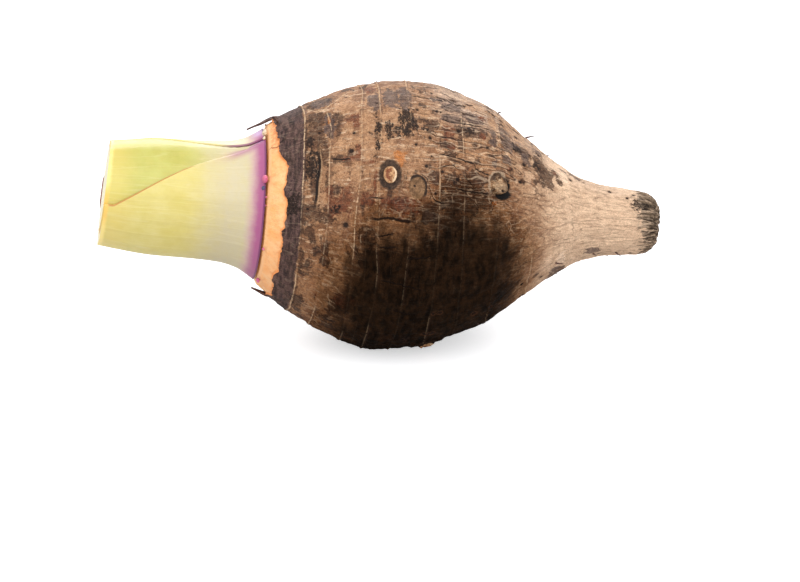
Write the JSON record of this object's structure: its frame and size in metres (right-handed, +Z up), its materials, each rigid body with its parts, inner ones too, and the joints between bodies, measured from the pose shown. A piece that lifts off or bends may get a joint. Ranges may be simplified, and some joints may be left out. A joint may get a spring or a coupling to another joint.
{
  "type": "taro yam",
  "caption": "Whole taro yam lying on its side: a round, ring-scarred brown corm that narrows to a blunt tail, with a short cut stub of pale green leaf stalks at its crown.",
  "frame": {"origin": "middle of the base that the yam rests on, under the centre of its bounding box", "axes": "+X from the cut leaf stalks to the tail, +Y to the back, +Z up as it lies on its belly"},
  "size_m": [0.2352, 0.112, 0.1101],
  "materials": {
    "bark": "matte",
    "outer_stalk": "satin",
    "inner_stalk": "satin"
  },
  "bodies": {
    "root": {"corm": "bark", "outer_leaf_stalk": "outer_stalk", "inner_leaf_stalk": "inner_stalk"}
  },
  "joints": []
}
